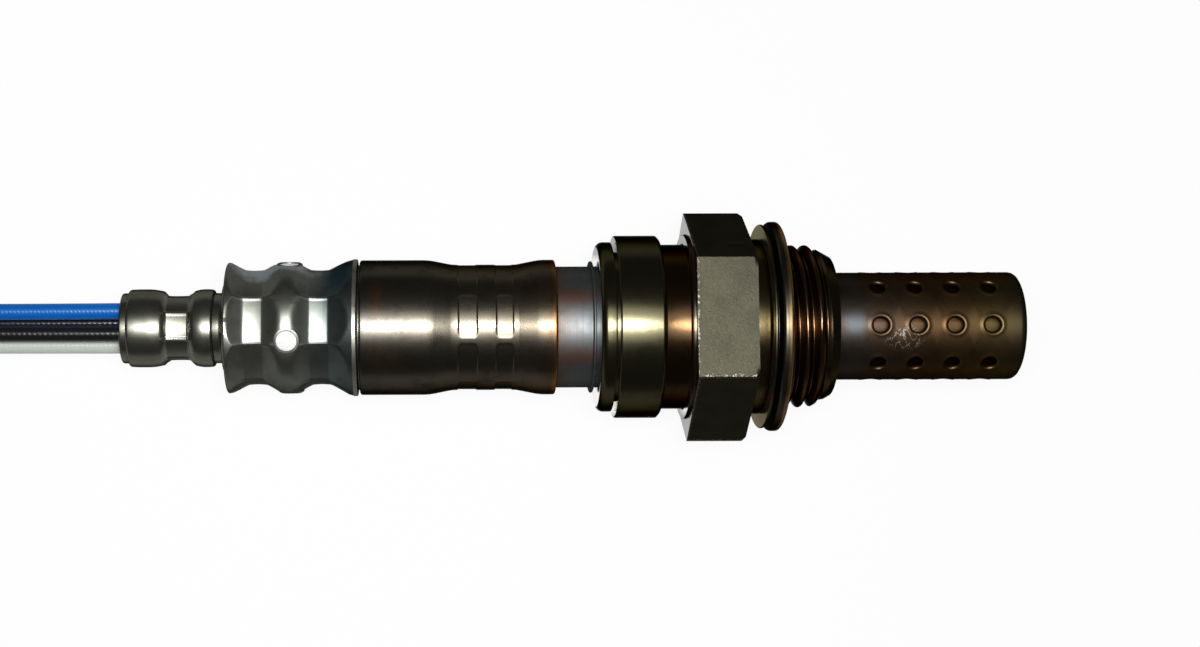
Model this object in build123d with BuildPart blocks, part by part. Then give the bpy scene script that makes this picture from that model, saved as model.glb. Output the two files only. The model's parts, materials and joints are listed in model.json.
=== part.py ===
# Oxygen sensor for a vehicle's exhaust pipe, with four wires, its put-away lead and its plug.
#
# The sensor lies on a surface as it comes to rest, on one flat of its hexagon and on the rear rim
# of its vented cover. The origin is on the sensor's axis, in the plane where the gasket meets the
# exhaust boss. +X runs along the sensor toward the tip that stands in the gas, +Z is up, and the
# axis climbs toward the tip by rest_tilt. A station is a distance along the axis from the origin,
# positive toward the tip. Lengths are in millimetres and angles in degrees.

import os
from math import atan2, cos, degrees, pi, radians, sin, sqrt, tan

from build123d import *

os.makedirs("parts", exist_ok=True)

# Fits
slip = 0.03  # gap between round faces that slide or press together

# Housing, from the seat back to the rolled edge
thread_radius = 9.0
thread_length = 3.4
lead_length = 2.26
lead_end_radius = 7.75
undercut_radius = 8.35
undercut_slope = 0.5
gasket_depth = 2.0
collar_length = 1.65
collar_radius = 9.7
hex_length = 6.45
hex_flats = 22.0
hex_chamfer = 0.5
lip_length = 0.35
lip_radius = 10.2
waist_length = 2.5
waist_wall = 1.7
barrel_length = 5.1
barrel_wall = 2.7
barrel_chamfer = 0.35
groove_length = 0.3
groove_wall = 0.9
roll_length = 1.65
roll_height = 2.0
roll_wall = 1.6
roll_rounding = 0.7
shoulder_bore_radius = 4.75
shoulder_station = -3.0

# Gasket, a strip folded into three layers
gasket_wall = 0.35
gasket_front_width = 2.6
gasket_rear_width = 2.3

# Protector tubes over the ceramic element
protector_radius = 5.94
protector_wall = 0.4
protector_tip = 26.3
protector_rounding = 0.7
protector_seat = 0.0
gas_hole_radius = 0.95
gas_hole_first = 10.4
gas_hole_pitch = 4.03
gas_hole_rings = 4
gas_hole_rows = 8
gas_hole_turn = 4.3
inner_protector_radius = 4.4
inner_protector_wall = 0.3
inner_protector_tip = 24.4
inner_hole_radius = 0.7
inner_hole_stations = (7.6, 21.6)
inner_hole_rows = 6

# Ceramic element, its packing and what it holds
element_tip = 20.0
element_tip_radius = 3.1
element_front_radius = 4.0
element_collar_gap = 0.5
element_collar_length = 2.0
element_shaft_radius = 4.0
element_back = -24.0
element_bore_radius = 2.6
element_tip_wall = 1.0
packing_wall = 0.4
packing_inner_radius = 5.0
packing_gap = 0.7
alumina_length = 4.6
crimp_ring_length = 0.8
crimp_ring_width = 1.4
heater_radius = 1.5
heater_tip_gap = 0.8
ground_contact_front = -20.0
signal_contact_front = -20.0
signal_contact_back = -26.0
contact_wall = 0.25
contact_width = 1.0

# Front tube between the housing and the sleeve
front_tube_wall = 0.4
front_tube_back = -28.4
bead_front_gap = 0.45
bead_length = 0.3
bead_height = 0.59
front_tube_flange = 0.69

# Insulator, its spring sleeve and the four terminals
insulator_front = -29.6
insulator_back = -45.0
insulator_chamfer = 0.4
heater_pocket_depth = 2.0
retainer_length = 6.0
retainer_wall = 0.74
retainer_slot = 1.0
terminal_circle = 2.75
terminal_hole_radius = 0.75
terminal_pin_radius = 0.5
terminal_barrel_length = 5.0
terminal_barrel_wall = 0.2
terminal_grip = 3.5

# Main sleeve with its two rows of crimp marks
sleeve_front = -24.6
sleeve_back = -46.2
sleeve_lap = 0.73
sleeve_wall = 0.5
sleeve_draw = 0.52
sleeve_neck_front = -29.2
sleeve_neck_back = -35.9
sleeve_front_blend = 2.9
sleeve_back_blend = 2.6
sleeve_blend_rounding = 4.0
sleeve_edge = 0.25
sleeve_crimp_flats = 13.2
sleeve_crimp_depth = 0.35
sleeve_crimp_front = (-31.6, -29.6)
sleeve_crimp_back = (-35.4, -33.2)
sleeve_crimp_width = 4.7
sleeve_crimp_wall = 0.4
sleeve_crimp_turn = -5.0

# Rear cover, the stepped tube that carries the vented cover and ends in the neck
cover_front = -42.0
cover_wall = 0.4
cover_step_front = -46.5
cover_step_back = -47.6
cover_radius = 5.3
cover_back = -61.2
neck_radius = 3.9
neck_wall = 0.25
neck_back = -72.4
neck_rounding = 0.2

# Vented cover, a flared skirt with two octagonal crimps
vent_rim_station = -60.5
vent_back = -61.05
vent_rim_radius = 7.25
vent_mouth_radius = 6.5
vent_groove_back = (-59.3, -57.3)
vent_groove_front = (-51.6, -49.9)
vent_bulge_station = -55.0
vent_bulge_radius = 7.4
vent_wall = 0.4
vent_skirt_station = -47.8
vent_skirt_inset = 0.12
vent_front = -46.6
vent_lip_height = 0.13
vent_hole_station = -54.3
vent_hole_radius = 1.3
vent_holes = 4
vent_turn = 17.0
vent_crimp_turn = -1.5
filter_wall = 0.39
filter_back = -60.2
filter_front = -48.9

# Ferrule on the neck, and the rubber grommet inside it
ferrule_front = -62.3
ferrule_back = -71.8
ferrule_wall = 0.4
ferrule_crimp = (-67.8, -65.2)
ferrule_shoulder = 1.4
ferrule_crimp_wall = 0.25
ferrule_crimp_turn = 1.9
ferrule_rounding = 0.3
grommet_inset = 0.3
grommet_skin = 0.075
jaw_count = 8
jaw_slope = 0.25
jaw_overlap = 1.06
ridge_share = 0.985

# Wires
wire_radius = 0.9
wire_circle = 1.95
wire_turn = 22.5
wire_names = ("wire_blue", "wire_black_upper", "wire_white", "wire_black_lower")
wire_bend_back = -59.0
wire_bend_front = -52.5
wire_back = -92.3

# Lead sleeve, folded once into a hank on the floor, with its collar, tie and plug
lead_radius = 2.75
lead_clearance = 0.05
tie_wall = 0.5
tie_length = 4.0
tie_x = -158.0
tie_span = 6.0
collar_wall = 0.45
collar_front_station = -90.6
collar_back_station = -99.0
plug_length = 30.0
plug_width = 15.0
plug_height = 12.0
plug_x = -123.5
plug_y = 13.0
plug_corner = 1.6
plug_nose_length = 12.0
plug_nose_inset = 1.6
seal_length = 6.0
seal_wall = 1.3
seal_depth = 2.0
pin_hole_radius = 0.9
pin_radius = 0.6
pin_pitch = 4.2
pin_depth = 7.0
lock_length = 11.0
lock_width = 5.0
lock_height = 1.4
rib_count = 4
rib_pitch = 2.4
rib_size = 0.7

# Stations that follow from the sizes above
seat = 0.0
gasket_back = seat - gasket_depth
hex_front = gasket_back - collar_length
hex_back = hex_front - hex_length
lip_back = hex_back - lip_length
waist_back = lip_back - waist_length
barrel_back = waist_back - barrel_length
groove_back = barrel_back - groove_length
roll_back = groove_back - roll_length
roll_inner = roll_back + roll_wall
flange_front = roll_inner + front_tube_wall
crimp_ring_front = flange_front + crimp_ring_length
alumina_front = crimp_ring_front + alumina_length
thread_end = seat + thread_length + lead_length

# Radii that follow from the crimped neck of the sleeve, forward through the tube to the housing
sleeve_crimp_bore = sleeve_crimp_flats / 2 - sleeve_crimp_wall
insulator_radius = sleeve_crimp_bore - slip - retainer_wall - slip
sleeve_neck_radius = sleeve_crimp_flats / 2 + sleeve_crimp_depth
sleeve_radius = sleeve_neck_radius + sleeve_draw
front_tube_radius = sleeve_radius - sleeve_lap - slip
bead_radius = front_tube_radius + bead_height
housing_bore_radius = front_tube_radius + front_tube_flange
waist_radius = housing_bore_radius + waist_wall
barrel_radius = housing_bore_radius + barrel_wall
groove_radius = housing_bore_radius + groove_wall
roll_radius = housing_bore_radius + roll_height
element_collar_radius = housing_bore_radius - element_collar_gap
packing_outer_radius = housing_bore_radius - packing_gap
crimp_ring_inner_radius = housing_bore_radius - crimp_ring_width
vent_skirt_radius = sleeve_radius - vent_skirt_inset
vent_lip_radius = sleeve_radius + vent_lip_height

# Radii that follow from what each crimp of the neck closes on, from the inside out
filter_inner = cover_radius + slip
vent_bore = filter_inner + filter_wall + slip
vent_flats = 2 * (vent_bore + vent_wall)
neck_crimp_bore = wire_circle + wire_radius + slip / 2 + grommet_skin + slip
neck_crimp_radius = neck_crimp_bore + neck_wall
ferrule_flats = 2 * (neck_crimp_radius + slip + ferrule_crimp_wall)
ferrule_radius = neck_radius + slip + ferrule_wall

# The pose at rest, and the directions that everything is placed by
rest_tilt = degrees(atan2(hex_flats / 2 - vent_rim_radius + 0.1, hex_back - vent_rim_station))
tilt = radians(rest_tilt)
toward_tip = Vector(cos(tilt), 0, sin(tilt))
sideways = Vector(0, 1, 0)
upward = Vector(-sin(tilt), 0, cos(tilt))
floor_z = hex_back * sin(tilt) - hex_flats / 2 * cos(tilt)
sensor_axis = Axis((0, 0, 0), toward_tip)


def around(angle):
    # The direction away from the sensor's axis, counted from the side toward the top
    return sideways * cos(radians(angle)) + upward * sin(radians(angle))


def along(station, radius=0.0, angle=90.0):
    # A point of the sensor, from its station, its distance from the axis and its angle
    return toward_tip * station + around(angle) * radius


def section_plane(angle=90.0):
    # The plane through the axis in which X is the station and Y the radius at that angle
    return Plane((0, 0, 0), x_dir=toward_tip, z_dir=toward_tip.cross(around(angle)))


def cross_plane(station):
    # The plane across the axis at a station, facing the tip
    return Plane(toward_tip * station, x_dir=sideways, z_dir=toward_tip)


def radial_plane(angle):
    # The plane along the axis that faces outward at an angle, with X as the station
    return Plane((0, 0, 0), x_dir=toward_tip, z_dir=around(angle))


def half_section(*corners):
    # A closed outline beside the axis, from corners of station, radius and rounding if any
    with BuildSketch(section_plane()) as section:
        with BuildLine():
            roundings = [corner[2] if len(corner) > 2 else 0 for corner in corners]
            FilletPolyline(*[corner[:2] for corner in corners], radius=roundings, close=True)
        make_face()
    return section.sketch


def ring_section(back, front, inner, outer, rounding=0.0):
    # The outline of a plain ring
    return half_section(
        (back, inner), (front, inner), (front, outer, rounding), (back, outer, rounding)
    )


def crimp_jaws(band, flats, width, turn):
    # The jaws of a crimping tool around the axis, which press flats into a band
    back, front = band
    reach = flats / 2
    jaws = []
    for index in range(jaw_count):
        with BuildPart() as jaw:
            with BuildSketch(section_plane(90 + turn + index * 360 / jaw_count)):
                with BuildLine():
                    Polyline(
                        (back, flats / 2),
                        (front, flats / 2),
                        (front + jaw_slope * reach, flats / 2 + reach),
                        (back - jaw_slope * reach, flats / 2 + reach),
                        close=True,
                    )
                make_face()
            extrude(amount=width / 2, both=True)
        jaws.append(jaw.part)
    return jaws


def octagon_jaw(flats):
    # The width of a jaw that meets its neighbours, a little wider than the octagon's side
    return jaw_overlap * flats * tan(pi / jaw_count)


def octagon_band(flats):
    # The radius of the round band under the jaws, which leaves a narrow ridge at each corner
    return ridge_share * flats / 2 / cos(pi / jaw_count)


def keep(piece, name):
    # Names a finished piece and writes it
    piece.part.label = name
    export_step(piece.part, "parts/" + name + ".step")


# Housing: one turned steel body with its hexagon. The thread itself is a plain cylinder here.
with BuildPart() as housing:
    revolve(
        half_section(
            (thread_end, 0),
            (thread_end, lead_end_radius, 0.2),
            (thread_length, thread_radius),
            (seat - slip, thread_radius),
            (seat - slip - undercut_slope, undercut_radius),
            (gasket_back, undercut_radius),
            (gasket_back, collar_radius, 0.3),
            (hex_back, collar_radius),
            (hex_back, lip_radius),
            (lip_back, lip_radius),
            (lip_back, waist_radius, 0.15),
            (waist_back, waist_radius, 0.15),
            (waist_back, barrel_radius - barrel_chamfer),
            (waist_back - barrel_chamfer, barrel_radius),
            (barrel_back, barrel_radius, 0.25),
            (barrel_back, groove_radius),
            (groove_back, groove_radius),
            (groove_back, roll_radius, 0.15),
            (roll_back, roll_radius, roll_rounding),
            (roll_back, 0),
        ),
        axis=sensor_axis,
    )
    with BuildSketch(cross_plane(hex_back)):
        RegularPolygon(hex_flats / 2, 6, major_radius=False)
    extrude(amount=hex_length)
    corner_radius = hex_flats / sqrt(3)
    revolve(
        half_section(
            (hex_front, corner_radius - hex_chamfer),
            (hex_front - hex_chamfer, corner_radius),
            (hex_front - hex_chamfer, corner_radius + hex_chamfer),
            (hex_front, corner_radius + hex_chamfer),
        ),
        axis=sensor_axis,
        mode=Mode.SUBTRACT,
    )
    revolve(
        half_section(
            (thread_end, 0),
            (thread_end, protector_radius + slip),
            (protector_seat, protector_radius + slip),
            (protector_seat, shoulder_bore_radius),
            (shoulder_station, shoulder_bore_radius),
            (shoulder_station - housing_bore_radius + shoulder_bore_radius, housing_bore_radius),
            (roll_inner, housing_bore_radius),
            (roll_inner, front_tube_radius + slip),
            (roll_back, front_tube_radius + slip),
            (roll_back, 0),
        ),
        axis=sensor_axis,
        mode=Mode.SUBTRACT,
    )
keep(housing, "housing")

# Gasket: one strip of sheet in three layers, folded at its outer edge and again at its bore
gasket_bore_radius = thread_radius + slip
gasket_front_radius = thread_radius + gasket_front_width
gasket_rear_radius = thread_radius + gasket_rear_width
layer_pitch = (gasket_depth - gasket_wall) / 2
layer_front = seat - gasket_wall / 2
layer_inner = gasket_bore_radius + gasket_wall / 2
with BuildPart() as gasket:
    with BuildSketch(section_plane()):
        with BuildLine():
            FilletPolyline(
                (layer_front, layer_inner),
                (layer_front, gasket_front_radius - gasket_wall / 2),
                (layer_front - layer_pitch, gasket_front_radius - gasket_wall / 2),
                (layer_front - layer_pitch, layer_inner),
                (layer_front - 2 * layer_pitch, layer_inner),
                (layer_front - 2 * layer_pitch, gasket_rear_radius - gasket_wall / 2),
                radius=layer_pitch * 0.49,
            )
            offset(amount=gasket_wall / 2)
        make_face()
    revolve(axis=sensor_axis)
keep(gasket, "gasket")

# Outer protector: a deep-drawn cup with eight rows of round gas holes
with BuildPart() as outer_protector:
    revolve(
        half_section(
            (protector_seat, protector_radius - protector_wall),
            (protector_seat, protector_radius),
            (protector_tip, protector_radius, protector_rounding),
            (protector_tip, 0),
            (protector_tip - protector_wall, 0),
            (protector_tip - protector_wall, protector_radius - protector_wall, 0.3),
        ),
        axis=sensor_axis,
    )
    for row in range(gas_hole_rows):
        with BuildSketch(radial_plane(90 + gas_hole_turn + row * 360 / gas_hole_rows)):
            for ring in range(gas_hole_rings):
                with Locations((gas_hole_first + ring * gas_hole_pitch, 0)):
                    Circle(gas_hole_radius)
        extrude(amount=protector_radius + protector_wall, mode=Mode.SUBTRACT)
keep(outer_protector, "outer_protector")

# Inner protector: a smaller cup whose flange stands on the same seat inside the outer one
inner_flange_radius = protector_radius - protector_wall - slip
inner_protector_bore = inner_protector_radius - inner_protector_wall
with BuildPart() as inner_protector:
    revolve(
        half_section(
            (protector_seat, inner_protector_bore),
            (protector_seat, inner_flange_radius),
            (protector_seat + inner_protector_wall, inner_flange_radius),
            (protector_seat + inner_protector_wall, inner_protector_radius, 0.3),
            (inner_protector_tip, inner_protector_radius, 0.6),
            (inner_protector_tip, 0),
            (inner_protector_tip - inner_protector_wall, 0),
            (inner_protector_tip - inner_protector_wall, inner_protector_bore, 0.3),
        ),
        axis=sensor_axis,
    )
    for row in range(inner_hole_rows):
        with BuildSketch(radial_plane(row * 360 / inner_hole_rows)):
            for hole_station in inner_hole_stations:
                with Locations((hole_station, 0)):
                    Circle(inner_hole_radius)
        extrude(amount=inner_protector_radius + inner_protector_wall, mode=Mode.SUBTRACT)
keep(inner_protector, "inner_protector")

# Ceramic element: a closed thimble whose collar sits on the housing's cone through a washer
cone_shift = packing_wall * sqrt(2)


def housing_cone(radius):
    # The station of the housing's inner cone at a radius
    return shoulder_station - radius + shoulder_bore_radius


element_collar_front = housing_cone(element_collar_radius) - cone_shift
element_collar_back = element_collar_front - element_collar_length
with BuildPart() as element:
    revolve(
        half_section(
            (element_back, element_bore_radius),
            (element_tip - element_tip_wall, element_tip_radius - element_tip_wall, 1.5),
            (element_tip - element_tip_wall, 0),
            (element_tip, 0),
            (element_tip, element_tip_radius, 2.8),
            (housing_cone(element_front_radius) - cone_shift, element_front_radius, 0.5),
            (element_collar_front, element_collar_radius, 0.2),
            (element_collar_back, element_collar_radius, 0.2),
            (element_collar_back, element_shaft_radius),
            (element_back, element_shaft_radius, 0.2),
        ),
        axis=sensor_axis,
    )
keep(element, "sensing_element")

# Packing washer between the two cones
with BuildPart() as packing_washer:
    revolve(
        half_section(
            (housing_cone(packing_inner_radius), packing_inner_radius),
            (housing_cone(packing_outer_radius), packing_outer_radius),
            (housing_cone(packing_outer_radius) - cone_shift, packing_outer_radius),
            (housing_cone(packing_inner_radius) - cone_shift, packing_inner_radius),
        ),
        axis=sensor_axis,
    )
keep(packing_washer, "packing_washer")

# Powder, ceramic ring and steel ring, stacked behind the collar under the rolled edge
packed_inner = element_shaft_radius + slip
packed_outer = housing_bore_radius - slip
with BuildPart() as talc_ring:
    revolve(
        ring_section(alumina_front, element_collar_back, packed_inner, packed_outer),
        axis=sensor_axis,
    )
keep(talc_ring, "talc_ring")

with BuildPart() as alumina_ring:
    revolve(
        ring_section(crimp_ring_front, alumina_front, packed_inner, packed_outer),
        axis=sensor_axis,
    )
keep(alumina_ring, "alumina_ring")

with BuildPart() as crimp_ring:
    revolve(
        ring_section(flange_front, crimp_ring_front, crimp_ring_inner_radius, packed_outer, 0.2),
        axis=sensor_axis,
    )
keep(crimp_ring, "crimp_ring")

# Front tube: its flange is held under the rolled edge, and a bead stands just behind that edge
bead_front = roll_back - bead_front_gap
with BuildPart() as front_tube:
    revolve(
        half_section(
            (flange_front, front_tube_radius - front_tube_wall),
            (flange_front, packed_outer),
            (roll_inner, packed_outer),
            (roll_inner, front_tube_radius),
            (bead_front, front_tube_radius),
            (bead_front, bead_radius, bead_length * 0.45),
            (bead_front - bead_length, bead_radius, bead_length * 0.45),
            (bead_front - bead_length, front_tube_radius),
            (front_tube_back, front_tube_radius),
            (front_tube_back, front_tube_radius - front_tube_wall),
        ),
        axis=sensor_axis,
    )
keep(front_tube, "front_tube")

# Heater: a ceramic rod from the insulator's pocket to just short of the element's closed end
heater_front = element_tip - element_tip_wall - heater_tip_gap
heater_back = insulator_front - heater_pocket_depth
with BuildPart() as heater_rod:
    revolve(
        half_section(
            (heater_back, 0),
            (heater_front, 0),
            (heater_front, heater_radius, 0.4),
            (heater_back, heater_radius, 0.2),
        ),
        axis=sensor_axis,
    )
keep(heater_rod, "heater_rod")


def contact_strip(angle, start, start_radius, bend_start, bend_end):
    # A bent strip from a contact, or from the heater, back to the insulator's front face
    with BuildPart() as strip:
        with BuildSketch(section_plane(angle)):
            with BuildLine():
                Polyline(
                    (start, start_radius - contact_wall / 2),
                    (bend_start, start_radius - contact_wall / 2),
                    (bend_end, terminal_circle - contact_wall / 2),
                    (insulator_front, terminal_circle - contact_wall / 2),
                    (insulator_front, terminal_circle + contact_wall / 2),
                    (bend_end, terminal_circle + contact_wall / 2),
                    (bend_start, start_radius + contact_wall / 2),
                    (start, start_radius + contact_wall / 2),
                    close=True,
                )
            make_face()
        extrude(amount=contact_width / 2, both=True)
    return strip


terminal_angles = [wire_turn + index * 90 for index in range(len(wire_names))]

# Ground contact: a sleeve around the element's open end, with a strip to its terminal
ground_strip = contact_strip(
    terminal_angles[0],
    element_back + 1.5,
    element_shaft_radius + slip + contact_wall / 2,
    element_back - 1.5,
    element_back - 3.5,
)
with BuildPart() as ground_contact:
    revolve(
        ring_section(
            element_back,
            ground_contact_front,
            element_shaft_radius + slip,
            element_shaft_radius + slip + contact_wall,
        ),
        axis=sensor_axis,
    )
    add(ground_strip.part)
keep(ground_contact, "ground_contact")

# Signal contact: a sleeve inside the element's bore, with a strip to its terminal
signal_strip = contact_strip(
    terminal_angles[2],
    signal_contact_back + 1.0,
    element_bore_radius - 0.35 - contact_wall / 2,
    signal_contact_back - 0.8,
    signal_contact_back - 2.0,
)
with BuildPart() as signal_contact:
    revolve(
        ring_section(
            signal_contact_back,
            signal_contact_front,
            element_bore_radius - 0.35 - contact_wall,
            element_bore_radius - 0.35,
        ),
        axis=sensor_axis,
    )
    add(signal_strip.part)
keep(signal_contact, "signal_contact")

# Heater contacts: two strips that press on the rod's pads
for suffix, angle in zip(("a", "b"), terminal_angles[1::2]):
    heater_contact = contact_strip(
        angle,
        signal_contact_back - 0.6,
        heater_radius + slip + contact_wall / 2,
        signal_contact_back - 1.6,
        signal_contact_back - 2.8,
    )
    keep(heater_contact, "heater_contact_" + suffix)

# Insulator: a ceramic cylinder with four terminal holes and a pocket for the heater
with BuildPart() as insulator:
    revolve(
        ring_section(insulator_back, insulator_front, 0, insulator_radius, insulator_chamfer),
        axis=sensor_axis,
    )
    with BuildSketch(cross_plane(insulator_back)):
        with PolarLocations(terminal_circle, len(terminal_angles), start_angle=wire_turn):
            Circle(terminal_hole_radius)
    extrude(amount=insulator_front - insulator_back, mode=Mode.SUBTRACT)
    with BuildSketch(cross_plane(heater_back)):
        Circle(heater_radius + slip)
    extrude(amount=heater_pocket_depth, mode=Mode.SUBTRACT)
keep(insulator, "insulator")

# Retainer: a split spring sleeve between the insulator and the sleeve's crimped neck
with BuildPart() as retainer:
    revolve(
        ring_section(
            insulator_front - retainer_length,
            insulator_front,
            insulator_radius + slip,
            sleeve_crimp_bore - slip,
            0.1,
        ),
        axis=sensor_axis,
    )
    with BuildSketch(cross_plane(insulator_front - retainer_length)):
        with Locations((0, -insulator_radius)):
            Rectangle(retainer_slot, insulator_radius)
    extrude(amount=retainer_length, mode=Mode.SUBTRACT)
keep(retainer, "retainer")

# Terminals: a pin through the insulator and a barrel that grips the wire behind it
barrel_back = insulator_back - terminal_barrel_length
barrel_bore = wire_radius + slip
barrel_radius_outer = barrel_bore + terminal_barrel_wall
for name, angle in zip(wire_names, terminal_angles):
    terminal_origin = around(angle) * terminal_circle
    terminal_axis = Axis(terminal_origin, toward_tip)
    terminal_plane = Plane(terminal_origin, x_dir=toward_tip, z_dir=toward_tip.cross(around(angle)))
    with BuildPart() as terminal:
        with BuildSketch(terminal_plane):
            with BuildLine():
                Polyline(
                    (insulator_front, 0),
                    (insulator_front, terminal_pin_radius),
                    (insulator_back, terminal_pin_radius),
                    (insulator_back, barrel_radius_outer),
                    (barrel_back, barrel_radius_outer),
                    (barrel_back, barrel_bore),
                    (barrel_back + terminal_grip, barrel_bore),
                    (barrel_back + terminal_grip, 0),
                    close=True,
                )
            make_face()
        revolve(axis=terminal_axis)
    keep(terminal, name.replace("wire", "terminal"))

# Main sleeve: a tube drawn in at its crimps, with eight jaw marks in each of two rows
front_blend = sleeve_neck_front + sleeve_front_blend
back_blend = sleeve_neck_back - sleeve_back_blend
sleeve_bore = sleeve_radius - sleeve_wall
sleeve_marks = crimp_jaws(
    sleeve_crimp_front, sleeve_crimp_flats, sleeve_crimp_width, sleeve_crimp_turn
) + crimp_jaws(sleeve_crimp_back, sleeve_crimp_flats, sleeve_crimp_width, sleeve_crimp_turn)
with BuildPart() as sleeve:
    revolve(
        half_section(
            (sleeve_front, front_tube_radius + slip),
            (sleeve_front, sleeve_radius, sleeve_edge),
            (front_blend, sleeve_radius, sleeve_blend_rounding),
            (sleeve_neck_front, sleeve_neck_radius, sleeve_blend_rounding),
            (sleeve_neck_back, sleeve_neck_radius, sleeve_blend_rounding),
            (back_blend, sleeve_radius, sleeve_blend_rounding),
            (sleeve_back, sleeve_radius, sleeve_edge),
            (sleeve_back, sleeve_bore),
            (back_blend, sleeve_bore),
            (sleeve_neck_back - jaw_slope, sleeve_crimp_bore),
            (front_tube_back - jaw_slope, sleeve_crimp_bore),
            (front_tube_back - jaw_slope, front_tube_radius + slip),
        ),
        axis=sensor_axis,
    )
    add(sleeve_marks, mode=Mode.SUBTRACT)
keep(sleeve, "main_sleeve")

# Rear cover: the stepped tube under the vented cover. Its neck is drawn in under the ferrule.
neck_bore = neck_radius - neck_wall
crimp_back, crimp_front = ferrule_crimp
groove_rear = crimp_back - ferrule_shoulder
groove_fore = crimp_front + ferrule_shoulder
cover_rim = sleeve_bore - slip
with BuildPart() as rear_cover:
    revolve(
        half_section(
            (cover_front, cover_rim),
            (cover_step_front, cover_rim, 0.4),
            (cover_step_back, cover_radius, 0.4),
            (cover_back, cover_radius, 0.6),
            (cover_back, neck_radius),
            (groove_fore, neck_radius),
            (crimp_front, neck_crimp_radius),
            (crimp_back, neck_crimp_radius),
            (groove_rear, neck_radius),
            (neck_back, neck_radius, neck_rounding),
            (neck_back, neck_bore),
            (groove_rear, neck_bore),
            (crimp_back, neck_crimp_bore),
            (crimp_front, neck_crimp_bore),
            (groove_fore, neck_bore),
            (cover_back + cover_wall, neck_bore),
            (cover_back + cover_wall, cover_radius - cover_wall),
            (cover_step_back + cover_wall / 2, cover_radius - cover_wall),
            (cover_step_front + cover_wall / 2, cover_rim - cover_wall),
            (cover_front, cover_rim - cover_wall),
        ),
        axis=sensor_axis,
    )
    for hole in range(vent_holes):
        with BuildSketch(radial_plane(90 + vent_turn + hole * 360 / vent_holes)):
            with Locations((vent_hole_station, 0)):
                Circle(vent_hole_radius)
        extrude(amount=cover_radius + cover_wall, mode=Mode.SUBTRACT)
keep(rear_cover, "rear_cover")

# Filter: a white ring of porous sheet, clamped between the rear cover and the vented cover
with BuildPart() as filter_ring:
    revolve(
        ring_section(filter_back, filter_front, filter_inner, vent_bore - slip, 0.1),
        axis=sensor_axis,
    )
keep(filter_ring, "filter_ring")

# Vented cover: a flared skirt, drawn in and flattened at two octagonal crimps
vent_band = octagon_band(vent_flats)
back_groove_back, back_groove_front = vent_groove_back
front_groove_back, front_groove_front = vent_groove_front
vent_marks = crimp_jaws(
    vent_groove_back, vent_flats, octagon_jaw(vent_flats), vent_crimp_turn
) + crimp_jaws(vent_groove_front, vent_flats, octagon_jaw(vent_flats), vent_crimp_turn)
with BuildPart() as vented_cover:
    revolve(
        half_section(
            (vent_back, vent_mouth_radius),
            (vent_back, vent_rim_radius, 0.45),
            (vent_rim_station + 0.4, vent_rim_radius, 0.6),
            (back_groove_back, vent_band, 0.6),
            (back_groove_front, vent_band, 0.8),
            (vent_bulge_station - 1.1, vent_bulge_radius, 1.5),
            (vent_bulge_station + 1.3, vent_bulge_radius, 1.5),
            (front_groove_back, vent_band, 0.8),
            (front_groove_front, vent_band, 0.8),
            (vent_skirt_station, vent_skirt_radius, 1.5),
            (vent_front - 0.1, vent_lip_radius),
            (vent_front, vent_lip_radius),
            (vent_front, vent_lip_radius - vent_wall),
            (vent_skirt_station, vent_skirt_radius - vent_wall, 1.0),
            (front_groove_front, vent_bore, 0.3),
            (front_groove_back, vent_bore, 0.3),
            (vent_bulge_station + 1.3, vent_bulge_radius - vent_wall, 1.0),
            (vent_bulge_station - 1.1, vent_bulge_radius - vent_wall, 1.0),
            (back_groove_front, vent_bore, 0.3),
            (back_groove_back, vent_bore, 0.3),
            (vent_rim_station + 0.3, vent_mouth_radius),
        ),
        axis=sensor_axis,
    )
    add(vent_marks, mode=Mode.SUBTRACT)
    for hole in range(vent_holes):
        with BuildSketch(radial_plane(90 + vent_turn + hole * 360 / vent_holes)):
            with Locations((vent_hole_station, 0)):
                Circle(vent_hole_radius)
        extrude(amount=vent_bulge_radius + vent_wall, mode=Mode.SUBTRACT)
keep(vented_cover, "vented_cover")

# Grommet: rubber, with one hole for each wire, drawn in under the ferrule
with BuildPart() as grommet:
    revolve(
        half_section(
            (cover_back, 0),
            (cover_back, neck_bore - slip),
            (groove_fore, neck_bore - slip),
            (crimp_front, neck_crimp_bore - slip),
            (crimp_back, neck_crimp_bore - slip),
            (groove_rear, neck_bore - slip),
            (neck_back + grommet_inset, neck_bore - slip, 0.2),
            (neck_back + grommet_inset, 0),
        ),
        axis=sensor_axis,
    )
    with BuildSketch(cross_plane(neck_back)):
        with PolarLocations(wire_circle, len(wire_names), start_angle=wire_turn):
            Circle(wire_radius + slip / 2)
    extrude(amount=cover_back - neck_back, mode=Mode.SUBTRACT)
keep(grommet, "grommet")

# Ferrule: a steel ring crimped on the neck, with concave shoulders and an octagonal waist
ferrule_band = octagon_band(ferrule_flats)
ferrule_marks = crimp_jaws(
    ferrule_crimp, ferrule_flats, octagon_jaw(ferrule_flats), ferrule_crimp_turn
)
with BuildPart() as ferrule:
    revolve(
        half_section(
            (ferrule_front, neck_radius + slip),
            (ferrule_front, ferrule_radius, ferrule_rounding),
            (groove_fore, ferrule_radius, 1.2),
            (crimp_front, ferrule_band, 0.5),
            (crimp_back, ferrule_band, 0.5),
            (groove_rear, ferrule_radius, 1.2),
            (ferrule_back, ferrule_radius, ferrule_rounding),
            (ferrule_back, neck_radius + slip),
            (groove_rear, neck_radius + slip),
            (crimp_back, neck_crimp_radius + slip),
            (crimp_front, neck_crimp_radius + slip),
            (groove_fore, neck_radius + slip),
        ),
        axis=sensor_axis,
    )
    add(ferrule_marks, mode=Mode.SUBTRACT)
keep(ferrule, "ferrule")


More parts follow.
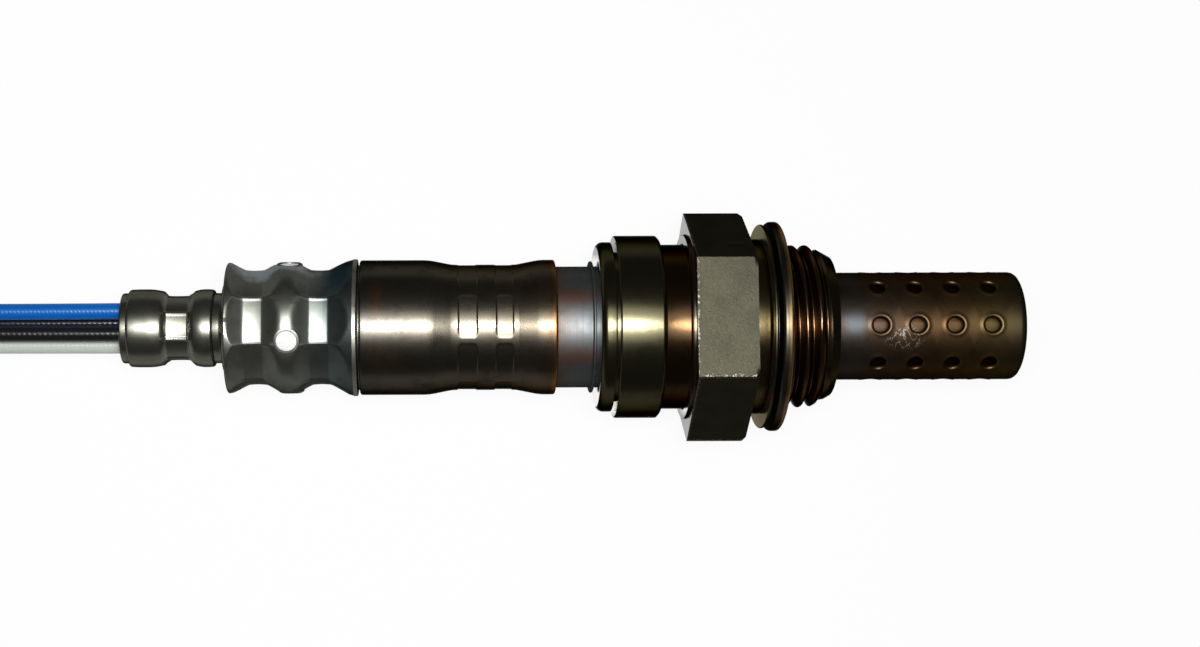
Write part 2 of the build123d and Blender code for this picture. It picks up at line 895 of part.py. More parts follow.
def tube_radii(points):
    # The largest arc at each corner of a tube's path that its two runs leave room for
    radii = []
    for before, corner, after in zip(points, points[1:], points[2:]):
        arriving, leaving = corner - before, after - corner
        turn = radians(arriving.get_angle(leaving))
        radii.append(0.45 * min(arriving.length, leaving.length) / tan(turn / 2))
    return radii


def cord_tube(points, radius, name):
    # A round cord along straight runs joined by tangent arcs
    radii = tube_radii(points)
    heading = points[1] - points[0]
    with BuildPart() as tube:
        with BuildLine():
            route = FilletPolyline(*points, radius=radii)
        with BuildSketch(Plane(points[0], z_dir=heading)):
            Circle(radius)
        sweep(path=route)
    expected = pi * radius**2 * route.length
    print(
        name, "length", round(route.length, 1), "volume share", round(tube.part.volume / expected, 4),
        "arcs", [round(arc, 1) for arc in radii],
    )
    keep(tube, name)


# Wires: from their terminals through the grommet, then straight to the lead sleeve
for name, angle in zip(wire_names, terminal_angles):
    wire_route = [
        along(barrel_back + terminal_grip, terminal_circle, angle),
        along(wire_bend_front, terminal_circle, angle),
        along(wire_bend_back, wire_circle, angle),
        along(wire_back, wire_circle, angle),
    ]
    cord_tube(wire_route, wire_radius, name)

# Lead sleeve: out of its collar, down to the floor and round one fold to the plug
lie = floor_z + lead_radius + lead_clearance
tied = lie + tie_wall + lead_clearance
plug_middle = floor_z + plug_height / 2
lead_route = [
    along(wire_back),
    along(-104.5),
    Vector(-118.0, -0.8, lie + 0.5),
    Vector(-133.0, -1.8, lie + 0.1),
    Vector(tie_x + 8, -tie_span / 2 + 0.1, tied),
    Vector(tie_x - 8, -tie_span / 2, tied),
    Vector(-186.5, -11.4, lie),
    Vector(-204.7, -20.3, lie),
    Vector(-219.6, -14.9, lie),
    Vector(-226.1, -0.2, lie),
    Vector(-219.8, 14.8, lie),
    Vector(-205.0, 20.6, lie),
    Vector(-186.8, 11.8, lie),
    Vector(tie_x - 8, tie_span / 2, tied),
    Vector(tie_x + 8, tie_span / 2 - 0.1, tied),
    Vector(-142.5, 6.4, plug_middle - 2.2),
    Vector(plug_x - 8.5, plug_y, plug_middle),
    Vector(plug_x + seal_length - seal_depth, plug_y, plug_middle),
]
cord_tube(lead_route, lead_radius, "lead_sleeve")

# Collar: shrink tubing over the mouth of the lead sleeve
with BuildPart() as sleeve_collar:
    revolve(
        ring_section(
            collar_back_station,
            collar_front_station,
            lead_radius + wire_radius / 6,
            lead_radius + wire_radius / 6 + collar_wall,
            0.15,
        ),
        axis=sensor_axis,
    )
keep(sleeve_collar, "sleeve_collar")

# Tie: a flat band round both runs of the lead
with BuildPart() as hank_tie:
    with BuildSketch(Plane((tie_x - tie_length / 2, 0, tied), x_dir=(0, 1, 0), z_dir=(1, 0, 0))):
        SlotCenterToCenter(tie_span, 2 * (lead_radius + lead_clearance + tie_wall))
        SlotCenterToCenter(tie_span, 2 * (lead_radius + lead_clearance), mode=Mode.SUBTRACT)
    extrude(amount=tie_length)
keep(hank_tie, "hank_tie")

# Plug: a rounded housing with a narrower nose, ribs for the thumb and a latch on its top
plug_plane = Plane(
    (plug_x + seal_length - seal_depth, plug_y, plug_middle), x_dir=(0, 1, 0), z_dir=(1, 0, 0)
)
with BuildPart() as plug_body:
    with BuildSketch(plug_plane):
        RectangleRounded(plug_width, plug_height, plug_corner)
    extrude(amount=plug_length - plug_nose_length)
    with BuildSketch(plug_plane.offset(plug_length - plug_nose_length)):
        RectangleRounded(
            plug_width - 2 * plug_nose_inset, plug_height - 2 * plug_nose_inset, plug_corner
        )
    extrude(amount=plug_nose_length)
    with BuildSketch(plug_plane):
        Circle(lead_radius + seal_wall)
    extrude(amount=seal_depth, mode=Mode.SUBTRACT)
    with BuildSketch(plug_plane.offset(plug_length)):
        with GridLocations(pin_pitch, pin_pitch, 2, 2):
            Circle(pin_hole_radius)
    extrude(amount=-pin_depth, mode=Mode.SUBTRACT)
    for rib in range(rib_count):
        with BuildSketch(plug_plane.offset(rib_pitch * (rib + 1))):
            with GridLocations(plug_width, 0, 2, 1):
                Rectangle(2 * rib_size, plug_height - 3 * plug_corner)
        extrude(amount=rib_pitch / 2)
keep(plug_body, "plug_body")

with BuildPart() as plug_seal:
    with BuildSketch(plug_plane.offset(seal_depth - seal_length)):
        Circle(lead_radius + seal_wall - slip)
    extrude(amount=seal_length)
    with BuildSketch(plug_plane.offset(seal_depth - seal_length)):
        Circle(lead_radius + slip)
    extrude(amount=seal_length - seal_depth, mode=Mode.SUBTRACT)
keep(plug_seal, "plug_seal")

with BuildPart() as plug_pins:
    with BuildSketch(plug_plane.offset(plug_length - pin_depth)):
        with GridLocations(pin_pitch, pin_pitch, 2, 2):
            Circle(pin_radius)
    extrude(amount=pin_depth - 1)
keep(plug_pins, "plug_pins")

lock_plane = Plane(
    (plug_plane.origin.X + plug_length - plug_nose_length, plug_y,
     plug_middle + plug_height / 2 - plug_nose_inset),
)
with BuildPart() as plug_lock:
    with BuildSketch(lock_plane):
        with Locations((lock_length / 2, 0)):
            RectangleRounded(lock_length, lock_width, plug_corner / 2)
    extrude(amount=lock_height)
    fillet(plug_lock.edges().group_by(Axis.Z)[-1], lock_height / 4)
keep(plug_lock, "plug_lock")

print("rest tilt", round(rest_tilt, 3), "floor", round(floor_z, 3), "slope", round(sin(tilt), 5))
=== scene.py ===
import bpy, bmesh, json, math
from mathutils import Matrix, Vector


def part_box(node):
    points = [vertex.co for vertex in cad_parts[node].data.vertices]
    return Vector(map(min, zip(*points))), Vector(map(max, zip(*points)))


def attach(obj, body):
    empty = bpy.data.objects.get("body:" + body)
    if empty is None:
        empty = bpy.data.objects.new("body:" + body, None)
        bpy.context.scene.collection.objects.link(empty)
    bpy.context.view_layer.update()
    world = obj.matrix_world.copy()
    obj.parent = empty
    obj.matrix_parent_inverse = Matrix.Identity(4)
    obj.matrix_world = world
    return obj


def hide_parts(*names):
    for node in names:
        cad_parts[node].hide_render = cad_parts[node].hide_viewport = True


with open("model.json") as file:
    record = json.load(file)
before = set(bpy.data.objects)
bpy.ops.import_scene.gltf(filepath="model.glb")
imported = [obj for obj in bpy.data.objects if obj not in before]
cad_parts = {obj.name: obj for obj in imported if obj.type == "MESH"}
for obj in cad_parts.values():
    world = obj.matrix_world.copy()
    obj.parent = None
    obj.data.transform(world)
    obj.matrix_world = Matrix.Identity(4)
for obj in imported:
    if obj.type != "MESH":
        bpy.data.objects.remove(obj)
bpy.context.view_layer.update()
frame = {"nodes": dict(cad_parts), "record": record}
print("frame loaded")

mm = 0.001
mergeWithin = 0.0008  # millimetres between points that are made one
root = "root"
threadMount = next(m for m in frame["record"]["mounts"] if m["name"] == "thread")
towardTip = Vector(threadMount["axis"]).normalized()
restTilt = math.atan2(towardTip.z, towardTip.x)
sideways = Vector((0, 1, 0))
upward = Vector((-towardTip.z, 0, towardTip.x))
floorZ = min(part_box("housing")[0].z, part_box("vented_cover")[0].z)
# Pieces are made in millimetres along a straight X axis, then laid down as the sensor lies
layDown = Matrix.Rotation(-restTilt, 4, "Y") @ Matrix.Scale(mm, 4)


class Signal:
    # One shader socket, on which + - * / and the rest add their Math nodes
    def __init__(self, finish, socket):
        self.finish, self.socket = finish, socket

    def maths(self, operation, *values, clamp=False):
        return self.finish.node("ShaderNodeMath", {"operation": operation, "use_clamp": clamp},
                                dict(enumerate(values)))

    def __add__(self, other): return self.maths("ADD", self, other)
    def __radd__(self, other): return self.maths("ADD", other, self)
    def __sub__(self, other): return self.maths("SUBTRACT", self, other)
    def __rsub__(self, other): return self.maths("SUBTRACT", other, self)
    def __mul__(self, other): return self.maths("MULTIPLY", self, other)
    def __rmul__(self, other): return self.maths("MULTIPLY", other, self)
    def __truediv__(self, other): return self.maths("DIVIDE", self, other)
    def __pow__(self, other): return self.maths("POWER", self, other)

    def clamp(self): return self.maths("ADD", self, 0.0, clamp=True)
    def largest(self, other): return self.maths("MAXIMUM", self, other)
    def size(self): return self.maths("ABSOLUTE", self)
    def sine(self): return self.maths("SINE", self)

    def ease(self, start, end):
        # 0 before start, 1 after end, soft between them
        return self.finish.node("ShaderNodeMapRange", {"interpolation_type": "SMOOTHSTEP"},
                                {"Value": self, "From Min": start, "From Max": end})


class Finish:
    # A material while its nodes are being laid
    def __init__(self, name, **shader):
        self.material = bpy.data.materials.new(name)
        self.material.use_nodes = True
        self.tree = self.material.node_tree
        self.tree.nodes.clear()
        self.shader = self.tree.nodes.new("ShaderNodeBsdfPrincipled")
        self.surface = self.tree.nodes.new("ShaderNodeOutputMaterial")
        self.tree.links.new(self.shader.outputs[0], self.surface.inputs[0])
        for key, value in shader.items():
            self.feed(self.shader.inputs[key.replace("_", " ")], value)

    def feed(self, socket, value):
        if isinstance(value, Signal):
            self.tree.links.new(value.socket, socket)
        elif isinstance(value, (int, float)) or len(value) == len(socket.default_value):
            socket.default_value = value
        else:
            socket.default_value = (*value, 1.0)

    def node(self, kind, settings=None, sockets=None, out=0):
        made = self.tree.nodes.new(kind)
        for key, value in (settings or {}).items():
            if key == "stops":
                stops = made.color_ramp.elements
                while len(stops) < len(value):
                    stops.new(0.5)
                for stop, (place, colour) in zip(stops, value):
                    stop.position = place
                    stop.color = (*colour, 1.0)
            else:
                setattr(made, key, value)
        for key, value in (sockets or {}).items():
            self.feed(made.inputs[key], value)
        return Signal(self, made.outputs[out])

    def axisPoint(self, stretch=(1, 1, 1)):
        # The surface point in millimetres along and across the sensor's axis
        point = self.node("ShaderNodeTexCoord", out=3)
        straight = self.node("ShaderNodeMapping", {}, {
            "Vector": point, "Rotation": (0, restTilt, 0), "Scale": (1000, 1000, 1000)})
        if stretch == (1, 1, 1):
            return straight
        return self.node("ShaderNodeMapping", {}, {"Vector": straight, "Scale": stretch})

    def parts(self, point):
        split = self.node("ShaderNodeSeparateXYZ", {}, {"Vector": point})
        return split, Signal(self, split.socket.node.outputs[1]), Signal(self, split.socket.node.outputs[2])

    def noise(self, point, scale, detail=3, roughness=0.5):
        return self.node("ShaderNodeTexNoise", {}, {
            "Vector": point, "Scale": scale, "Detail": detail, "Roughness": roughness})

    def mix(self, amount, first, second, blend="MIX"):
        return self.node("ShaderNodeMix", {"data_type": "RGBA", "blend_type": blend}, {
            0: amount, 6: first, 7: second}, out=2)

    def ramp(self, amount, stops, start=0.0, end=1.0):
        places = [((place - start) / (end - start), colour) for place, colour in stops]
        return self.node("ShaderNodeValToRGB", {"stops": places},
                         {"Fac": (amount - start) / (end - start)})

    def set(self, **sockets):
        for key, value in sockets.items():
            self.feed(self.shader.inputs[key.replace("_", " ")], value)
        return self.material

    def bump(self, height, distance):
        # distance is in millimetres
        return self.node("ShaderNodeBump", {}, {"Height": height, "Distance": distance * mm, "Strength": 1.0})


def spotOffset(parts, place, angle, reach, wide):
    # How far a point is from a spot, in shares of the spot's reach along the axis and its width
    # around it, and how far the point stands out on the spot's side of the axis
    station, across, height = parts
    spread = math.radians(angle)
    sideOff = (across * math.sin(spread) - height * math.cos(spread)) / wide
    away = (((station - place) / reach) ** 2.0 + sideOff ** 2.0) ** 0.5
    return away, across * math.cos(spread) + height * math.sin(spread)


def tintedSteel(name, stops, roughness=0.3, lines=0.3, blotch=0.3, scratch=0.3, grain=0.0,
                edge=(0.04, 0.04, 0.04), patches=(), scar=None, haze=None):
    # Turned or drawn steel that heat has coloured. stops are stations with their colours; some stops and
    #     # patches are painted highlight or sheen rather than tint. Each patch, like haze, is a station, an
    #     angle,
    #     # a reach along and across, and a colour. scar is the same without a colour.
    finish = Finish(name, Metallic=1.0, Specular_Tint=edge)
    point = finish.axisPoint()
    parts = finish.parts(point)
    station = parts[0]
    drift = finish.noise(point, 0.25, 4) * 0.5 - 0.25
    colour = finish.ramp(station + drift, stops, stops[0][0], stops[-1][0])
    cloud = finish.noise(point, 0.35, 6, 0.62)
    for place, angle, reach, wide, tint in patches:
        away, standing = spotOffset(parts, place, angle, reach, wide)
        away = away + (cloud - 0.5) * 1.6
        colour = finish.mix((1.0 - away.ease(0.2, 1.1)) * standing.ease(-1.0, 1.0) * 0.8, colour, tint)
    colour = finish.mix((cloud.ease(0.48, 0.78) * blotch).clamp(), colour, (0.015, 0.014, 0.014))
    linePitch = 0.12
    turned = finish.noise(finish.axisPoint((1 / linePitch, 0.02, 0.02)), 1.0, 2)
    fine = finish.noise(point, 9.0, 3, 0.7)
    marks = finish.noise(finish.axisPoint((0.8, 6.0, 6.0)), 1.4, 8, 0.75)
    streak = marks.ease(0.60, 0.72) * scratch
    worn = finish.mix(1.0, colour, (0.5, 0.47, 0.45), "MULTIPLY")
    colour = finish.mix(turned * lines, colour, worn)
    colour = finish.mix(streak, colour, (0.3, 0.28, 0.25))
    if scar:
        # Something scraped the tint off in fine bright lines
        away, standing = spotOffset(parts, *scar)
        crossed = finish.noise(finish.axisPoint((1.6, 1.0, 1.0)), 1.1, 2, 0.6)
        line = 1.0 - ((crossed - 0.5).size() * 30.0).ease(0.2, 0.9)
        scraped = (1.0 - away.ease(0.6, 1.3)) * line * standing.ease(3.0, 5.0)
        streak = streak.largest(scraped * 1.2)
        colour = finish.mix(scraped.clamp(), colour, (0.45, 0.42, 0.38))
    if haze:
        # A dusty film on one side
        away, standing = spotOffset(parts, *haze[:4])
        away = away + (cloud - 0.5) * 2.0
        film = (1.0 - away.ease(0.3, 1.2)) * standing.ease(2.0, 5.0) * 0.8
        colour = finish.mix(film, colour, haze[4])
        finish.set(Metallic=1.0 - film)
    shine = roughness + (cloud - 0.5) * 0.2 + (turned - 0.5) * lines * 0.2 + (fine - 0.5) * 0.08
    relief = turned * lines + fine * (0.1 + grain) + streak * 0.3
    return finish.set(Base_Color=colour, Roughness=shine.clamp(), Normal=finish.bump(relief, 0.012))


def hexagonSteel(name):
    # The wrench flats: matt and grainy, rubbed bright along their edges
    finish = Finish(name, Metallic=1.0, Specular_Tint=(0.04, 0.04, 0.04))
    point = finish.axisPoint()
    station, across, height = finish.parts(point)
    radius = (across * across + height * height) ** 0.5
    speckle = finish.noise(point, 4.5, 5, 0.7)
    cloud = finish.noise(point, 0.4, 4)
    oneSide = (0.5 - across * 0.1).clamp()
    rub = (1.0 - (station - housing["hexBack"]).ease(0.0, 0.7)).largest(radius.ease(12.3, 12.65) * oneSide)
    bright = ((rub * 0.7 + speckle * 1.9 - 1.48).ease(0.05, 0.25) * 0.6).clamp()
    scratch = finish.noise(finish.axisPoint((0.6, 5.0, 5.0)), 1.2, 6, 0.7).ease(0.66, 0.72) * 0.4
    colour = finish.mix(cloud.ease(0.35, 0.7), (0.064, 0.061, 0.042), (0.055, 0.052, 0.037))
    colour = finish.mix((bright + scratch).clamp(), colour, (0.4, 0.37, 0.28))
    shine = 0.5 + (speckle - 0.5) * 0.3 - bright * 0.12
    return finish.set(Base_Color=colour, Roughness=shine.clamp(),
                      Normal=finish.bump(speckle * 0.6 + bright * 0.3, 0.05))


print("materials defined")


def wire(bm, corners, closed=True):
    # An outline beside the axis; a corner is a station, a radius and its rounding if it has one
    points = [bm.verts.new((corner[0], 0, corner[1])) for corner in corners]
    pairs = list(zip(points, points[1:] + points[:1] if closed else points[1:]))
    for first, second in pairs:
        bm.edges.new((first, second))
    for point, corner in zip(points, corners):
        if len(corner) > 2:
            bmesh.ops.bevel(bm, geom=[point], offset=corner[2], offset_type="OFFSET", segments=6,
                            profile=0.5, affect="VERTICES", clamp_overlap=True, material=-1)


def turn(bm, steps=192, advance=0.0):
    bmesh.ops.spin(bm, geom=bm.verts[:] + bm.edges[:], cent=(0, 0, 0), axis=(1, 0, 0),
                   dvec=(advance / steps, 0, 0), angle=math.tau, steps=steps,
                   use_merge=advance == 0, use_normal_flip=False, use_duplicate=False)
    bmesh.ops.remove_doubles(bm, verts=bm.verts, dist=mergeWithin)


def turned(corners, steps=192, closed=True):
    bm = bmesh.new()
    wire(bm, corners, closed)
    turn(bm, steps)
    return bm


def radial(vert):
    return math.hypot(vert.co.y, vert.co.z)


def setRadius(vert, radius):
    scale = radius / max(radial(vert), 1e-6)
    vert.co.y *= scale
    vert.co.z *= scale


def offSeam(vert, centre, step):
    # The angle from the middle of the nearest of the flats, which stand a step apart
    return (math.atan2(vert.co.z, vert.co.y) - math.radians(centre) + step / 2) % step - step / 2


def pressFlats(bm, band, flats, centre, slope, inner, crown, dish, bead, count=8, seam=0.22, runOut=0.25):
    # Moves what stands outside a ring of facets down to it. slope is how steeply the marks run
    # out past runOut, crown how flat the facets are, dish how much they hollow along the axis, and
    # bead how far the metal stands up in the seam between the jaws.
    step = math.tau / count
    middle, half = sum(band) / 2, (band[1] - band[0]) / 2
    for vert in bm.verts:
        if radial(vert) < inner:
            continue
        beyond = max(band[0] - vert.co.x, vert.co.x - band[1], 0.0)
        angle = offSeam(vert, centre, step)
        hollow = dish * min(abs(vert.co.x - middle) / half, 1.0) ** 2
        ridge = max(1 - (step / 2 - abs(angle)) * flats / 2 / seam, 0.0)
        rise = beyond ** 2 / (beyond + runOut) * slope
        limit = (flats / 2 + hollow + rise) / math.cos(angle) ** crown + bead * ridge
        if radial(vert) > limit:
            setRadius(vert, limit)


def finishPiece(bm, name, nodes, material, more=(), sharpest=32):
    # Sharp edges are those that turn by more than sharpest degrees
    bmesh.ops.remove_doubles(bm, verts=bm.verts, dist=mergeWithin)
    bmesh.ops.recalc_face_normals(bm, faces=bm.faces)
    for face in bm.faces:
        face.smooth = True
    for edge in bm.edges:
        edge.smooth = edge.calc_face_angle(0.0) < math.radians(sharpest)
    bmesh.ops.transform(bm, matrix=layDown, verts=bm.verts)
    mesh = bpy.data.meshes.new(name)
    bm.to_mesh(mesh)
    bm.free()
    mesh.materials.append(material)
    for extra in more:
        mesh.materials.append(extra)
    piece = bpy.data.objects.new(name, mesh)
    bpy.context.scene.collection.objects.link(piece)
    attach(piece, root)
    if nodes:
        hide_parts(*nodes)
    return piece


housing = {"hexFront": -3.65, "hexBack": -10.1, "hexFlats": 22.0, "hexChamfer": 0.36,
           "threadPitch": 1.5, "threadCrest": 9.0, "threadRoot": 8.1, "threadInner": 7.4,
           "threadBack": -0.4, "threadEnd": 5.66, "threadPhase": -0.35, "leadStart": 3.4,
           "leadRadius": 7.75}


def makeHousing():
    h = housing
    corner = h["hexFlats"] / math.sqrt(3)
    core = h["leadRadius"] - 0.5
    bm = turned([
        (h["threadEnd"], 5.97), (h["threadEnd"], core), (h["threadBack"], core),
        (-2.0, 7.6), (-2.0, 9.7, 0.3), (h["hexFront"], 9.7),
        (h["hexFront"], corner - h["hexChamfer"]), (h["hexFront"] - h["hexChamfer"], corner, 0.1),
        (h["hexBack"], corner), (h["hexBack"], 10.2, 0.08), (-10.45, 10.2, 0.08), (-10.45, 9.1, 0.15),
        (-13.2, 9.1, 0.15), (-13.2, 9.75), (-13.5, 10.1, 0.12), (-18.1, 10.1, 0.2),
        (-18.1, 8.3), (-18.4, 8.3), (-18.4, 9.4, 0.15), (-20.05, 9.4, 0.75),
        (-20.05, 6.75), (-18.4, 6.75), (-18.4, 7.4), (-5.65, 7.4), (-3.0, 4.75), (0.0, 4.75), (0.0, 5.97)])
    flat = h["hexFlats"] / 2
    for vert in bm.verts:
        if h["hexBack"] - 0.01 <= vert.co.x <= h["hexFront"] + 0.01 and radial(vert) > flat:
            limit = flat / math.cos((math.atan2(vert.co.z, vert.co.y) - math.radians(60))
                                    % math.radians(60) - math.radians(30))
            if radial(vert) > limit:
                setRadius(vert, limit)
    for face in bm.faces:
        middle = face.calc_center_median()
        if h["hexBack"] < middle.x < h["hexFront"] and math.hypot(middle.y, middle.z) > 10.9:
            face.material_index = 1
    bm.normal_update()
    # Turned end faces
    for face in bm.faces:
        if abs(face.normal.x) > 0.96 and face.calc_center_median().x < -1.9:
            face.material_index = 2
    # The thread: several pitches of its section, wound once round so that they join up
    thread = bmesh.new()
    section = [(x + h["threadPhase"], radius) for x, radius in (
        (0.0, h["threadRoot"]), (0.06, h["threadRoot"] + 0.01), (0.12, h["threadRoot"] + 0.06), (0.5, 8.86),
        (0.58, 8.94), (0.66, 8.985), (0.75, h["threadCrest"]), (0.84, 8.985), (0.92, 8.94), (1.0, 8.86),
        (1.38, h["threadRoot"] + 0.06), (1.44, h["threadRoot"] + 0.01))]
    first = math.floor(h["threadBack"] / h["threadPitch"]) - 2
    last = math.ceil(h["threadEnd"] / h["threadPitch"]) + 1
    run = [(pitch * h["threadPitch"] + x, radius) for pitch in range(first, last) for x, radius in section]
    wire(thread, run, closed=False)
    turn(thread, 192, h["threadPitch"])
    for place, side in ((h["threadBack"], -1), (h["threadEnd"], 1)):
        bmesh.ops.bisect_plane(thread, geom=thread.verts[:] + thread.edges[:] + thread.faces[:],
                               dist=0.0001, plane_co=(place, 0, 0), plane_no=(side, 0, 0), clear_outer=True)
    slope = (h["threadCrest"] - h["leadRadius"]) / (h["threadEnd"] - h["leadStart"])
    for vert in thread.verts:
        limit = h["threadCrest"] - max(vert.co.x - h["leadStart"], 0) * slope
        if radial(vert) > limit:
            setRadius(vert, limit)
    for place in (h["threadBack"], h["threadEnd"]):
        rim = [edge for edge in thread.edges if edge.is_boundary
               and all(abs(vert.co.x - place) < 0.001 for vert in edge.verts)]
        grown = bmesh.ops.extrude_edge_only(thread, edges=rim)["geom"]
        for vert in (item for item in grown if isinstance(item, bmesh.types.BMVert)):
            setRadius(vert, h["threadInner"])
    threadMesh = bpy.data.meshes.new("thread")
    bmesh.ops.recalc_face_normals(thread, faces=thread.faces)
    thread.to_mesh(threadMesh)
    thread.free()
    bm.from_mesh(threadMesh)
    return bm


protector = {"radius": 5.94, "wall": 0.4, "tip": 26.3, "first": 10.4, "pitch": 4.03, "rings": 4,
             "rows": 8, "turn": 4.3, "hole": 0.82, "rim": 1.12, "lift": 0.04, "sides": 12}


def makeProtector():
    p = protector
    rowPitch = math.tau * p["radius"] / p["rows"]
    half = (p["pitch"] / 2, rowPitch / 2)
    # One hole with its turned-out rim and both faces of the sheet, spun about the hole's own axis
    tile = bmesh.new()
    roll = p["rim"] - p["hole"]
    curve = [(p["rim"] - roll * math.sin(math.radians(a)), p["lift"] - roll * (1 - math.cos(math.radians(a))))
             for a in (0, 18, 36, 54, 72, 90)]
    across = [(1.6, 0.0), (p["rim"] + 0.2, 0.0), (p["rim"] + 0.1, p["lift"] * 0.7), *curve,
              (p["hole"], -p["wall"] + 0.02), (p["hole"] + 0.04, -p["wall"]), (1.6, -p["wall"])]
    points = [tile.verts.new((radius, 0, height)) for radius, height in across]
    for first, second in zip(points, points[1:]):
        tile.edges.new((first, second))
    around = 4 * p["sides"]
    bmesh.ops.spin(tile, geom=tile.verts[:] + tile.edges[:], cent=(0, 0, 0), axis=(0, 0, 1), dvec=(0, 0, 0),
                   angle=math.tau, steps=around, use_merge=True, use_normal_flip=False, use_duplicate=False)
    bmesh.ops.rotate(tile, verts=tile.verts, cent=(0, 0, 0), matrix=Matrix.Rotation(math.radians(45), 3, "Z"))
    rim = [edge for edge in tile.edges if edge.is_boundary]
    grown = bmesh.ops.extrude_edge_only(tile, edges=rim)["geom"]
    for vert in (item for item in grown if isinstance(item, bmesh.types.BMVert)):
        # Spread the ring's points evenly along the four sides of the tile
        share = (math.atan2(vert.co.y, vert.co.x) / (math.tau / 4) - 0.5) % 4
        side, part = divmod(round(share * p["sides"]), p["sides"])
        slide = 2 * part / p["sides"] - 1
        spot = [(-slide, 1), (-1, -slide), (slide, -1), (1, slide)][int(side) % 4]
        vert.co.x, vert.co.y = spot[0] * half[0], spot[1] * half[1]
    tileMesh = bpy.data.meshes.new("tile")
    tile.to_mesh(tileMesh)
    tile.free()
    bm = bmesh.new()
    for ring in range(p["rings"]):
        for row in range(p["rows"]):
            start = len(bm.verts)
            bm.from_mesh(tileMesh)
            bm.verts.ensure_lookup_table()
            bmesh.ops.translate(bm, verts=bm.verts[start:], vec=(ring * p["pitch"], row * rowPitch, 0))
    # Wrap the flat sheet round the axis
    for vert in bm.verts:
        angle = vert.co.y / p["radius"] + math.radians(90 + p["turn"])
        radius = p["radius"] + vert.co.z
        vert.co = (vert.co.x + p["first"], radius * math.cos(angle), radius * math.sin(angle))
    bmesh.ops.remove_doubles(bm, verts=bm.verts, dist=0.002)
    # The plain ends: draw the tile's open rings out along the axis, to the seat and round the tip
    lo = p["first"] - half[0]
    hi = p["first"] + (p["rings"] - 1) * p["pitch"] + half[0]
    inner = p["radius"] - p["wall"]
    floor = p["tip"] - p["wall"]
    ways = {
        (False, "out"): [(lo - 0.4, p["radius"]), (0.0, p["radius"])],
        (False, "in"): [(0.0, inner)],
        (True, "out"): [(p["tip"] - back, p["radius"] - down) for back, down in (
            (0.8, 0.0), (0.7, 0.0), (0.43, 0.05), (0.2, 0.2), (0.05, 0.43), (0.0, 0.7), (0.0, 0.8),
            (0.0, p["radius"]))],
        (True, "in"): [(floor - 0.3, inner), (floor, inner - 0.3), (floor, 0.0)]}
    for (front, face), way in ways.items():
        place = hi if front else lo
        wallSplit = p["radius"] - p["wall"] / 2
        loop = [edge for edge in bm.edges if edge.is_boundary
                and all(abs(vert.co.x - place) < 0.01 for vert in edge.verts)
                and all((radial(vert) > wallSplit) == (face == "out") for vert in edge.verts)]
        for station, radius in way:
            grown = bmesh.ops.extrude_edge_only(bm, edges=loop)["geom"]
            for vert in (item for item in grown if isinstance(item, bmesh.types.BMVert)):
                vert.co.x = station
                setRadius(vert, max(radius, 0.0001))
            loop = [item for item in grown if isinstance(item, bmesh.types.BMEdge)
                    and all(abs(vert.co.x - station) < 0.001 for vert in item.verts)
                    and all(abs(radial(vert) - max(radius, 0.0001)) < 0.001 for vert in item.verts)]
    return bm


gasket = {"front": 0.0, "back": -2.0, "bore": 9.03, "frontRadius": 11.6, "rearRadius": 11.3, "wall": 0.35}


def makeGasket():
    g = gasket
    pitch = (abs(g["back"]) - g["wall"]) / 2
    f, b, w = g["front"], g["back"], g["wall"]
    bm = turned([
        (f, g["bore"], 0.1), (f, g["frontRadius"], 0.3), (f - pitch - w, g["frontRadius"], 0.45),
        (f - pitch - w, g["bore"] + w + 0.02, 0.1), (f - pitch - w - 0.12, g["bore"] + w + 0.02, 0.05),
        (b + w + 0.02, g["rearRadius"] - 0.5, 0.1), (b + w, g["rearRadius"], 0.12),
        (b, g["rearRadius"], 0.15), (b, g["bore"], 0.45), (f - pitch, g["bore"], 0.4),
        (f - pitch, g["frontRadius"] - w, 0.3),
        (f - w, g["frontRadius"] - w, 0.3), (f - w, g["bore"], 0.02)])
    bm.normal_update()
    for face in bm.faces:
        if abs(face.normal.x) > 0.8 and face.calc_center_median().x < b + 0.1:
            face.material_index = 1
    return bm


frontTube = {"front": -18.0, "back": -28.4, "radius": 6.71, "wall": 0.4, "bead": -20.45, "beadRadius": 7.3}


def makeFrontTube():
    t = frontTube
    return turned([
        (t["front"], t["radius"] - t["wall"]), (t["front"], 7.37), (-18.4, 7.37), (-18.4, t["radius"]),
        (t["bead"], t["radius"], 0.05), (t["bead"], t["beadRadius"], 0.13),
        (t["bead"] - 0.3, t["beadRadius"], 0.13), (t["bead"] - 0.3, t["radius"], 0.05),
        (t["back"], t["radius"]), (t["back"], t["radius"] - t["wall"])])


sleeve = {"front": -24.6, "back": -46.1, "radius": 7.47, "neck": 6.95, "flats": 13.68, "width": 4.85,
          "bands": ((-31.3, -29.3), (-35.4, -33.2)), "turn": -5.0, "count": 8, "corner": 0.55}


